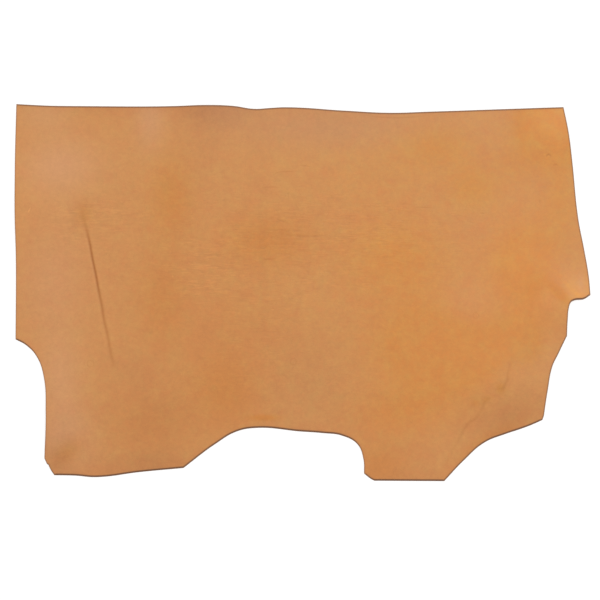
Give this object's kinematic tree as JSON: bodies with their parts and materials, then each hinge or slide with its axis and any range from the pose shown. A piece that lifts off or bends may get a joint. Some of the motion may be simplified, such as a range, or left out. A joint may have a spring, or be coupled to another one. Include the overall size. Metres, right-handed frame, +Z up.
{
  "type": "leather double shoulder hide",
  "caption": "Flat sheet of natural vegetable-tanned leather cut across both shoulders of a hide, with a curved neck cut-out and foreleg hollows, lying grain side up.",
  "frame": {"origin": "on the surface that the hide lies on, under the middle of its outline", "axes": "+X across the hide from flank to flank, +Y from the neck to the back cut, +Z up out of the grain side"},
  "size_m": [1.4504, 0.95, 0.0117],
  "materials": {
    "leather": "natural vegetable tan, smooth matt grain"
  },
  "bodies": {
    "root": {"shoulder_hide": "leather"}
  },
  "joints": []
}
